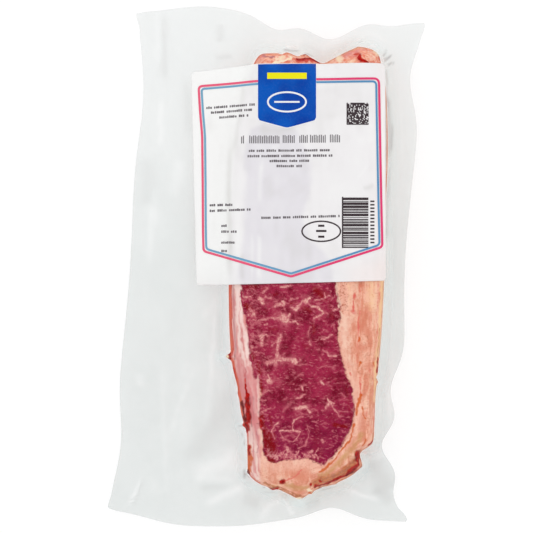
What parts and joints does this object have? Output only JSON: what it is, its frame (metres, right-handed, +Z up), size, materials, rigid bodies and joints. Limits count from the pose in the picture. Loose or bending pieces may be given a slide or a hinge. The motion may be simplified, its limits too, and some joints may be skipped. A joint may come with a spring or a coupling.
{
  "type": "vacuum packed beef striploin",
  "caption": "Thick slice of beef striploin with lean, fat cap and tail, lying flat in a clear vacuum pouch with a wide wavy margin and a paper label over its upper half.",
  "frame": {"origin": "middle of the pack's footprint, on the surface that it lies on", "axes": "+Z up out of the cut face, +Y along the pack towards the label's end, +X towards the steak's fat cap"},
  "size_m": [0.185, 0.3024, 0.0338],
  "materials": {
    "lean": "moist marbled lean beef under film",
    "fat_cap": "moist pink and cream beef fat with thin red seams",
    "pouch": "clear vacuum film, glossy with soft folds",
    "label": "smooth white paper with a printed border"
  },
  "bodies": {
    "root": {"lean": "lean", "fat_cap": "fat_cap", "pouch": "pouch", "label": "label"}
  },
  "joints": []
}
